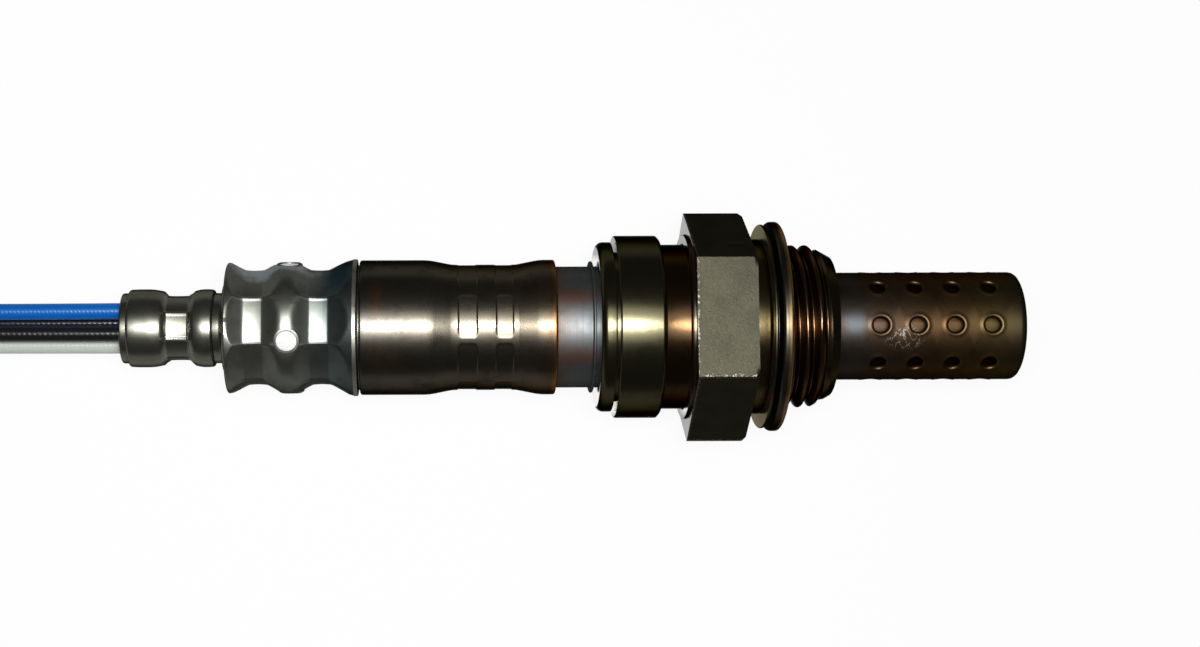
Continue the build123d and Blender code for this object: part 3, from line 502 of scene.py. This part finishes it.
def makeSleeve():
    s = sleeve
    bm = turned([
        (s["front"], 6.74), (s["front"], s["radius"], 0.25), (-25.0, s["radius"]), (-26.3, s["radius"], 0.6),
        (-28.9, s["neck"], 1.2), *((-29.1 - 0.1 * ring, s["neck"]) for ring in range(65)),
        (-35.9, s["neck"], 1.2), (-38.5, s["radius"], 0.6),
        (-45.5, s["radius"]), (s["back"], s["radius"], 0.25), (s["back"], 6.97), (-38.5, 6.97), (-36.15, 6.2),
        (-28.65, 6.2), (-28.65, 6.74)], steps=288)
    # Each mark is a shallow pocket with round corners, its floor nearly as round as the neck
    step = math.tau / s["count"]
    for band in s["bands"]:
        half = ((band[1] - band[0]) / 2 - s["corner"], s["width"] / 2 - s["corner"])
        for vert in bm.verts:
            if radial(vert) < 6.5:
                continue
            angle = offSeam(vert, 90 + s["turn"], step)
            past = max(abs(vert.co.x - sum(band) / 2) - half[0], 0.0)
            beside = max(abs(math.sin(angle)) * radial(vert) - half[1], 0.0)
            outside = max(math.hypot(past, beside) - s["corner"] + 0.12, 0.0)
            limit = s["flats"] / 2 / math.cos(angle) ** 0.2 + outside * 1.1
            if radial(vert) > limit:
                setRadius(vert, limit)
    return bm


cover = {"front": -46.35, "back": -60.75, "wall": 0.4, "flats": 12.3, "turn": -1.5,
         "bands": ((-58.5, -56.7), (-51.35, -49.55)), "hole": -53.85, "holeRadius": 1.3, "holes": 4,
         "holeTurn": 17.0, "bulge": 7.25}


def makeVentedCover():
    c = cover
    ridge = 1.03 * c["flats"] / 2 / math.cos(math.pi / 8)
    bore = c["flats"] / 2 - c["wall"]
    bm = turned([
        (c["back"], 6.5), (c["back"], 7.25, 0.22), (-59.95, 7.25, 0.3), (-58.75, ridge, 0.25),
        *((-58.55 + 0.1 * ring, ridge) for ring in range(19)), (-56.55, ridge, 0.2), (-55.15, 7.3, 1.1),
        (-53.0, 7.3, 1.1), (-51.5, ridge, 0.2), *((-51.4 + 0.1 * ring, ridge) for ring in range(19)),
        (-49.4, ridge, 0.2), (-47.6, 7.35, 1.2), (-46.87, 7.54), (-46.83, 7.6, 0.02), (c["front"], 7.6, 0.12),
        (c["front"], 7.2), (-47.6, 6.95, 1.0), (-49.6, bore, 0.3), (-51.3, bore, 0.3), (-53.0, 6.9, 1.0),
        (-55.15, 6.9, 1.0), (-56.7, bore, 0.3), (-58.5, bore, 0.3), (-59.9, 6.5)], steps=384)
    for band in c["bands"]:
        pressFlats(bm, band, c["flats"], 90 + c["turn"], slope=0.6, inner=bore + 0.1, crown=0.7, dish=0.05,
                   bead=0.06)
    for face in bm.faces:
        if -46.72 < face.calc_center_median().x < c["front"] - 0.04 and radial(face.verts[0]) > 7.3:
            face.material_index = 1
    return bm


def makeEyelets():
    # The turned-in edge of each vent hole, worn bright, with the filter that stands up inside it
    c = cover
    bm = bmesh.new()
    for index in range(c["holes"]):
        eyelet = bmesh.new()
        edge = [(0.0, -0.04), (0.6, -0.06), (1.05, -0.12), (1.12, -0.14), (1.13, -0.02), (1.18, 0.03),
                (1.36, 0.05), (1.43, 0.03), (1.47, -0.04), (1.5, -0.16)]
        points = [eyelet.verts.new((radius, 0, height)) for radius, height in edge]
        for first, second in zip(points, points[1:]):
            eyelet.edges.new((first, second))
        bmesh.ops.spin(eyelet, geom=eyelet.verts[:] + eyelet.edges[:], cent=(0, 0, 0), axis=(0, 0, 1),
                       dvec=(0, 0, 0), angle=math.tau, steps=64, use_merge=True, use_normal_flip=False,
                       use_duplicate=False)
        for face in eyelet.faces:
            if math.hypot(*face.calc_center_median().xy) < 1.1:
                face.material_index = 1
        for vert in eyelet.verts:
            angle = vert.co.y / c["bulge"] + math.radians(90 + c["holeTurn"] + index * 360 / c["holes"])
            radius = c["bulge"] + vert.co.z - max(abs(vert.co.x) - 0.8, 0.0) ** 2 * 0.3
            vert.co = (vert.co.x + c["hole"], radius * math.cos(angle), radius * math.sin(angle))
        mesh = bpy.data.meshes.new("eyelet")
        eyelet.to_mesh(mesh)
        eyelet.free()
        bm.from_mesh(mesh)
    return bm


def cutHoles(piece, station, radius, count, centre, reach):
    # Round holes across the axis
    cutter = bmesh.new()
    for index in range(count):
        angle = math.radians(centre + index * 360 / count)
        outward = Matrix.Rotation(angle - math.pi / 2, 4, "X") @ Matrix.Translation((station, 0, 0))
        bmesh.ops.create_cone(cutter, cap_ends=True, segments=64, radius1=radius, radius2=radius,
                              depth=4, matrix=outward @ Matrix.Translation((0, 0, reach)))
    mesh = bpy.data.meshes.new("cutter")
    bmesh.ops.transform(cutter, matrix=layDown, verts=cutter.verts)
    cutter.to_mesh(mesh)
    cutter.free()
    tool = bpy.data.objects.new("cutter", mesh)
    bpy.context.scene.collection.objects.link(tool)
    cut = piece.modifiers.new("holes", "BOOLEAN")
    cut.operation, cut.solver, cut.object = "DIFFERENCE", "EXACT", tool
    bpy.context.view_layer.update()
    result = bpy.data.meshes.new_from_object(piece.evaluated_get(bpy.context.evaluated_depsgraph_get()))
    piece.modifiers.clear()
    piece.data = result
    bpy.data.objects.remove(tool)


def makeRearCover():
    return turned([
        (-42.0, 6.94), (-46.5, 6.94, 0.4), (-47.6, 5.3, 0.4), (-61.2, 5.3, 0.6), (-61.2, 3.9, 0.3),
        (-63.8, 3.9), (-65.2, 3.24), (-67.8, 3.24), (-69.2, 3.9), (-72.4, 3.9, 0.2), (-72.4, 3.65),
        (-69.2, 3.65), (-67.8, 2.99), (-65.2, 2.99), (-63.8, 3.65), (-60.8, 3.65), (-60.8, 4.9),
        (-47.4, 4.9), (-46.3, 6.54), (-42.0, 6.54)])


ferrule = {"front": -62.15, "back": -71.65, "radius": 4.33, "flats": 7.04, "turn": 1.9,
           "band": (-67.2, -65.0)}


def makeFerrule():
    f = ferrule
    ridge = 1.03 * f["flats"] / 2 / math.cos(math.pi / 8)
    bm = turned([
        (f["front"], 3.93), (f["front"], f["radius"] - 0.06, 0.3), (-62.9, f["radius"], 0.35),
        (-63.8, f["radius"], 0.8), (-65.0, ridge, 0.3), *((-65.2 - 0.1 * ring, ridge) for ring in range(19)),
        (-67.2, ridge, 0.3), (-68.6, f["radius"], 0.85), (-70.8, f["radius"], 0.4),
        (f["back"], f["radius"] - 0.06, 0.3), (f["back"], 3.93), (-69.2, 3.93),
        (-67.8, 3.27), (-65.2, 3.27), (-63.8, 3.93)], steps=288)
    pressFlats(bm, f["band"], f["flats"], 90 + f["turn"], slope=1.6, inner=3.4, crown=0.5, dish=0.03,
               bead=0.1)
    return bm


def makeGrommet():
    return turned([(-61.2, 0.0), (-61.2, 3.62), (-63.8, 3.62), (-65.2, 2.96), (-67.8, 2.96), (-69.2, 3.62),
                   (-72.1, 3.62, 0.2), (-72.1, 0.0)], closed=False)


print("shapes defined")

steels = {
    "housing": tintedSteel("housingSteel", [
        (-20.0, (0.12, 0.11, 0.06)), (-18.1, (0.13, 0.12, 0.07)), (-13.3, (0.13, 0.12, 0.07)),
        (-13.1, (0.085, 0.052, 0.024)), (-10.5, (0.08, 0.046, 0.022)), (-10.1, (0.1, 0.1, 0.08)),
        (-3.7, (0.1, 0.1, 0.08)), (-3.4, (0.14, 0.11, 0.05)), (-1.9, (0.13, 0.095, 0.045)),
        (0.0, (0.16, 0.1, 0.06)), (3.0, (0.16, 0.1, 0.058)), (5.7, (0.09, 0.08, 0.045))], 0.22, blotch=0.5,
        grain=0.1),
    # The bright tan band over the front edge is a painted highlight along the front lobe's outer corner
    "gasket": tintedSteel("gasketSteel", [(-2.0, (0.09, 0.085, 0.06)), (-0.6, (0.1, 0.085, 0.06)),
                                          (-0.3, (0.5, 0.34, 0.15)), (0.0, (0.5, 0.34, 0.15))], 0.3),
    "protector": tintedSteel("protectorSteel", [
        (5.0, (0.075, 0.062, 0.05)), (7.6, (0.08, 0.07, 0.06)), (9.3, (0.09, 0.06, 0.04)),
        (17.0, (0.095, 0.055, 0.025)), (23.5, (0.11, 0.075, 0.03)), (26.3, (0.07, 0.06, 0.035))], 0.42,
        # The bluish patch on the side facing the camera is partly a real tint and partly a painted highlight
        lines=0.15, patches=((7.6, 92.0, 1.5, 1.6, (0.1, 0.115, 0.125)),), scar=(12.9, 110.0, 1.9, 1.2)),
    "tube": tintedSteel("tubeSteel", [(-24.6, (0.2, 0.17, 0.15)), (-23.0, (0.2, 0.2, 0.2)),
                                      (-20.0, (0.16, 0.178, 0.183))], 0.5, lines=0.6,
                          # The two reddish patches, about 30° either side of the line facing the camera, are
                          # painted sheen: they stand in for a tint that changes with the viewing angle
                          patches=((-22.5, 66.0, 3.5, 1.5, (0.26, 0.13, 0.095)),
                                   (-22.5, 124.0, 3.5, 1.5, (0.26, 0.14, 0.1)))),
    "sleeve": tintedSteel("sleeveSteel", [
        (-46.0, (0.15, 0.135, 0.115)), (-38.0, (0.16, 0.145, 0.115)), (-26.5, (0.17, 0.145, 0.105)),
        (-25.2, (0.18, 0.13, 0.085)), (-24.6, (0.45, 0.2, 0.07))], 0.28, lines=0.2, blotch=0.6,
        patches=((-44.2, 70.0, 1.1, 2.2, (0.28, 0.16, 0.08)), (-43.5, 122.0, 2.5, 2.2, (0.22, 0.16, 0.1)))),
    "cover": tintedSteel("coverSteel", [
        (-61.0, (0.33, 0.34, 0.3)), (-52.0, (0.31, 0.325, 0.29)), (-49.0, (0.2, 0.235, 0.225)),
        (-46.6, (0.17, 0.19, 0.18))], 0.35, blotch=0.4, lines=0.15,
        patches=((-48.2, 42.0, 2.6, 4.5, (0.05, 0.085, 0.1)),),
        haze=(-56.5, 24.0, 5.5, 1.6, (0.17, 0.2, 0.23))),
    "ferrule": tintedSteel("ferruleSteel", [(-73.0, (0.32, 0.32, 0.27)), (-62.0, (0.33, 0.33, 0.28))],
                           0.29, lines=0.15, scratch=0.4),
    "eyelet": tintedSteel("eyeletSteel", [(-56.0, (0.3, 0.31, 0.28)), (-52.0, (0.3, 0.31, 0.28))], 0.45,
                          blotch=0.2),
    # The sheared edge of the vented cover
    "lip": tintedSteel("bareLip", [(-47.1, (0.46, 0.44, 0.38)), (-46.5, (0.46, 0.44, 0.38))], 0.42,
                       blotch=0.9, edge=(0.3, 0.3, 0.3)),
    # End faces, which kept their bright metal
    "faced": tintedSteel("facedSteel", [(-21.0, (0.85, 0.84, 0.8)), (0.0, (0.85, 0.84, 0.8))], 0.12,
                         blotch=0.1, edge=(1.0, 1.0, 1.0)),
    "gasketBack": tintedSteel("facedBronze", [(-2.1, (0.34, 0.3, 0.18)), (-1.9, (0.34, 0.3, 0.18))], 0.3,
                              edge=(0.8, 0.75, 0.55)),
}


def wovenFinish(name, dark, light, turns, strands):
    # Two sets of strands that cross, laid out on the cord's own surface coordinates
    finish = Finish(name)
    surface = finish.node("ShaderNodeTexCoord", out=2)
    lengthwise, around = finish.parts(surface)[:2]
    one = (lengthwise * turns + around * strands) * math.tau
    other = (lengthwise * turns - around * strands) * math.tau
    weave = one.sine() * other.sine() * 0.5 + 0.5
    fibre = finish.noise(finish.axisPoint(), 6.0, 3)
    return finish.set(Base_Color=finish.mix((weave * 0.7 + fibre * 0.4).clamp(), dark, light),
                      Roughness=0.55 + (fibre - 0.5) * 0.2, Normal=finish.bump(weave + fibre * 0.4, 0.25))


def plainFinish(name, colour, roughness, grain=3.0, depth=0.05, spread=0.12, ripple=0.0, **shader):
    finish = Finish(name, **shader)
    point = finish.axisPoint()
    cloud = finish.noise(point, 0.5, 4)
    fine = finish.noise(point, grain, 4, 0.6)
    shade = finish.mix(cloud * spread * 2, colour, tuple(channel * 0.6 for channel in colour))
    relief = fine
    if ripple:
        station, across, height = finish.parts(point)
        relief = fine + ((station + (across - height) * 0.4) * ripple).sine() * cloud
    return finish.set(Base_Color=shade, Roughness=(roughness + (fine - 0.5) * 0.2).clamp(),
                      Normal=finish.bump(relief, depth))


finishes = {
    "ceramic": plainFinish("firedCeramic", (0.82, 0.8, 0.75), 0.55),
    "heater_ceramic": plainFinish("heaterCeramic", (0.6, 0.6, 0.58), 0.4),
    "talc_powder": plainFinish("pressedTalc", (0.75, 0.73, 0.68), 0.9, 6.0, 0.1),
    "contact_metal": plainFinish("contactStrip", (0.6, 0.57, 0.5), 0.3, Metallic=1.0),
    "filter_white": plainFinish("porousFilter", (0.9, 0.9, 0.88), 0.7, 5.0, 0.08, 0.05),
    "seal_rubber": plainFinish("mouldedRubber", (0.02, 0.02, 0.02), 0.6),
    "wire_blue": plainFinish("blueInsulation", (0.0, 0.115, 0.47), 0.3, 4.0, 0.008, 0.08, 14.0),
    "wire_black": plainFinish("blackInsulation", (0.008, 0.008, 0.01), 0.22, 4.0, 0.008, 0.08, 11.0),
    "wire_white": plainFinish("whiteInsulation", (0.52, 0.56, 0.5), 0.35, 4.0, 0.008, 0.06, 12.0),
    "lead_braid": wovenFinish("wovenSleeving", (0.008, 0.008, 0.009), (0.06, 0.06, 0.065), 90, 10),
    "shrink_plastic": plainFinish("shrunkTubing", (0.015, 0.015, 0.015), 0.45),
    "tie_plastic": plainFinish("tieStrap", (0.6, 0.6, 0.57), 0.4),
    "plug_plastic": plainFinish("mouldedGrain", (0.03, 0.03, 0.033), 0.5, 8.0, 0.04),
}

finishPiece(makeHousing(), "turnedHousing", ["housing"], steels["housing"],
            more=[hexagonSteel("hexagonSteel"), steels["faced"]])
finishPiece(makeGasket(), "foldedGasket", ["gasket"], steels["gasket"],
            more=[steels["gasketBack"]])
finishPiece(makeProtector(), "drilledProtector", ["outer_protector"], steels["protector"])
finishPiece(makeFrontTube(), "beadedTube", ["front_tube"], steels["tube"])
finishPiece(makeSleeve(), "crimpedSleeve", ["main_sleeve"], steels["sleeve"])
print("housing, gasket, tubes and sleeve made")
ventedCover = finishPiece(makeVentedCover(), "flaredCover", ["vented_cover"], steels["cover"],
                          more=[steels["lip"]])
finishPiece(makeEyelets(), "ventEyelets", [], steels["eyelet"],
            more=[finishes["filter_white"]])
cutHoles(ventedCover, cover["hole"], cover["holeRadius"], cover["holes"], 90 + cover["holeTurn"], 7.4)
finishPiece(makeRearCover(), "steppedCover", ["rear_cover"], steels["ferrule"])
finishPiece(makeFerrule(), "crimpedFerrule", ["ferrule"], steels["ferrule"])
finishPiece(makeGrommet(), "wireGrommet", ["grommet"], finishes["seal_rubber"])
print("covers and ferrule made")

# The nodes that stay as the solids have them, under the finish that each takes
plainNodes = {
    "ceramic": ["sensing_element", "alumina_ring", "insulator"],
    "heater_ceramic": ["heater_rod"],
    "talc_powder": ["talc_ring"],
    "contact_metal": ["ground_contact", "signal_contact", "heater_contact_a", "heater_contact_b", "retainer",
                      "terminal_blue", "terminal_white", "terminal_black_upper", "terminal_black_lower",
                      "plug_pins"],
    "filter_white": ["filter_ring"],
    "shrink_plastic": ["sleeve_collar"],
    "tie_plastic": ["hank_tie"],
    "plug_plastic": ["plug_body", "plug_lock"],
    "seal_rubber": ["plug_seal"],
    "protector": ["inner_protector"],
    "ferrule": ["packing_washer", "crimp_ring"]}
for key, nodes in plainNodes.items():
    for node in nodes:
        frame["nodes"][node].data.materials.clear()
        frame["nodes"][node].data.materials.append({**finishes, **steels}[key])

# Wires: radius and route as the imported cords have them
wires = {"radius": 0.9, "circle": 1.95, "terminalCircle": 2.75, "turn": 22.5, "exit": -72.4, "length": 0.0458,
         "order": (("wire_blue", "wire_blue"), ("wire_black_upper", "wire_black"),
                   ("wire_white", "wire_white"), ("wire_black_lower", "wire_black"))}


def along(station, radius=0.0, angle=90.0):
    spread = math.radians(angle)
    return layDown @ Vector((station, radius * math.cos(spread), radius * math.sin(spread)))


def softLine(name, points, radius, material, node):
    data = bpy.data.curves.new(name, "CURVE")
    data.dimensions = "3D"
    data.bevel_depth = radius * mm
    data.bevel_resolution = 8
    data.use_fill_caps = True
    spline = data.splines.new("NURBS")
    spline.points.add(len(points) - 1)
    for spot, point in zip(spline.points, points):
        spot.co = (*point, 1.0)
    spline.order_u = 3
    spline.use_endpoint_u = True
    spline.resolution_u = 12
    data.materials.append(material)
    piece = bpy.data.objects.new(name, data)
    bpy.context.scene.collection.objects.link(piece)
    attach(piece, root)
    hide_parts(node)
    return piece


w = wires
for index, (node, slot) in enumerate(w["order"]):
    angle = w["turn"] + index * 90
    route = [along(-46.5, w["terminalCircle"], angle), along(-52.5, w["terminalCircle"], angle),
             along(-59.0, w["circle"], angle), along(-92.3, w["circle"], angle)]
    strand = softLine(node + "Strand", route, w["radius"], finishes[slot], node)

# Lead: it leaves its collar along the axis, comes down to the floor and folds once into a hank
lead = {"radius": 2.75, "length": 0.267, "tieX": -158.0, "tieSpan": 6.0, "tieWall": 0.5, "plugX": -123.5,
        "plugY": 13.0, "plugHeight": 12.0}
floorMm = floorZ / mm
lie = floorMm + lead["radius"] + 0.05
tied = lie + lead["tieWall"] + 0.05
plugMiddle = floorMm + lead["plugHeight"] / 2
side = lead["tieSpan"] / 2
leadRoute = [along(-92.3), along(-104.5)] + [Vector(point) * mm for point in (
    (-118.0, -0.8, lie + 0.5), (-133.0, -1.8, lie + 0.1), (lead["tieX"] + 8, 0.1 - side, tied),
    (lead["tieX"] - 8, -side, tied), (-186.5, -11.4, lie), (-204.7, -20.3, lie), (-219.6, -14.9, lie),
    (-226.1, -0.2, lie), (-219.8, 14.8, lie), (-205.0, 20.6, lie), (-186.8, 11.8, lie),
    (lead["tieX"] - 8, side, tied), (lead["tieX"] + 8, side - 0.1, tied), (-142.5, 6.4, plugMiddle - 2.2),
    (lead["plugX"] - 8.5, lead["plugY"], plugMiddle), (lead["plugX"] + 4.0, lead["plugY"], plugMiddle))]
braidedLead = softLine("braidedLead", leadRoute, lead["radius"], finishes["lead_braid"],
                       "lead_sleeve")
print("wires and lead laid")

# Station and distance in millimetres, lean and roll in degrees, the lens and its shift
view = {"station": -38.5, "distance": 217.6, "lean": 5.5, "lens": 58.8, "shiftX": 0.1426, "shiftY": 0.0033,
        "roll": -0.18}
lean = math.radians(view["lean"])
toCamera = upward * math.cos(lean) - sideways * math.sin(lean)
cameraUp = toCamera.cross(towardTip)
place = Matrix((towardTip, cameraUp, toCamera)).transposed().to_4x4()
place.translation = (towardTip * view["station"] + toCamera * view["distance"]) * mm
cameraData = bpy.data.cameras.new("camera")
cameraData.lens, cameraData.sensor_width = view["lens"], 36.0
cameraData.shift_x, cameraData.shift_y = view["shiftX"], view["shiftY"]
cameraData.clip_start = 0.01
camera = bpy.data.objects.new("camera", cameraData)
camera.matrix_world = place @ Matrix.Rotation(math.radians(view["roll"]), 4, "Z")
bpy.context.scene.collection.objects.link(camera)
bpy.context.scene.camera = camera

# Of each lamp over the sensor: watts, then width, depth, distance and lift in metres. The paper
# shows in metal from nearPaper beside the sensor to farPaper past paperFade, and white under the
# turned rings, from back to front and out to a reach.
lights = {"flash": (0.52, 0.13, 0.05, 0.24, 0.0105), "ceiling": (0.2, 0.26, 0.2, 0.26, 0.02),
          "station": -33.0, "world": 0.04, "floorWhite": 0.92, "paperEdge": 0.013, "paperFade": 0.022,
          "nearPaper": 0.36, "farPaper": 0.04, "paperInMetal": 0.2, "underRings": (-0.0245, -0.0095, 0.0095)}

for name in ("flash", "ceiling"):
    lampData = bpy.data.lights.new(name, "AREA")
    lampData.shape = "ELLIPSE"
    lampData.energy, lampData.size, lampData.size_y, away, lift = lights[name]
    lamp = bpy.data.objects.new(name, lampData)
    lamp.matrix_world = place.copy()
    lamp.matrix_world.translation = towardTip * lights["station"] * mm + toCamera * away + cameraUp * lift
    bpy.context.scene.collection.objects.link(lamp)

world = bpy.data.worlds.new("studio")
bpy.context.scene.world = world
world.use_nodes = True
world.node_tree.nodes["Background"].inputs["Color"].default_value = (1, 1, 1, 1)
world.node_tree.nodes["Background"].inputs["Strength"].default_value = lights["world"]

floorMesh = bpy.data.meshes.new("floor")
slab = bmesh.new()
bmesh.ops.create_grid(slab, x_segments=1, y_segments=1, size=3.0, matrix=Matrix.Translation((0, 0, floorZ)))
slab.to_mesh(floorMesh)
slab.free()
floor = bpy.data.objects.new("floor", floorMesh)
bpy.context.scene.collection.objects.link(floor)
paper = Finish("paperFloor", Roughness=1.0)
glow = paper.node("ShaderNodeEmission", {}, {"Color": (1, 1, 1, 1), "Strength": 1.0})
seen = paper.node("ShaderNodeLightPath")
rays = seen.socket.node.outputs
mirrored = Signal(paper, rays["Is Glossy Ray"]) + Signal(paper, rays["Is Transmission Ray"])
forward, offside = paper.parts(paper.node("ShaderNodeTexCoord", out=3))[:2]
offside = offside.size()
dim = (lights["paperInMetal"],) * 3
paper.set(Base_Color=paper.mix(mirrored, (0.85, 0.85, 0.85), dim))
near = (1.0 - offside.ease(lights["paperEdge"], lights["paperFade"])) * lights["nearPaper"]
back, front, reach = lights["underRings"]
below = (forward.ease(back, back + 0.002) * (1.0 - forward.ease(front - 0.002, front))
         * (1.0 - offside.ease(reach - 0.001, reach + 0.001)))
lit = near.largest(lights["farPaper"]).largest(below)
shown = (seen * lights["floorWhite"]).largest(mirrored * lit)
blend = paper.node("ShaderNodeMixShader", {}, {0: shown})
paper.tree.links.new(paper.shader.outputs[0], blend.socket.node.inputs[1])
paper.tree.links.new(glow.socket, blend.socket.node.inputs[2])
paper.tree.links.new(blend.socket, paper.surface.inputs[0])
floorMesh.materials.append(paper.material)
bpy.context.scene.view_settings.view_transform = "Standard"
print("camera, lights and floor set")
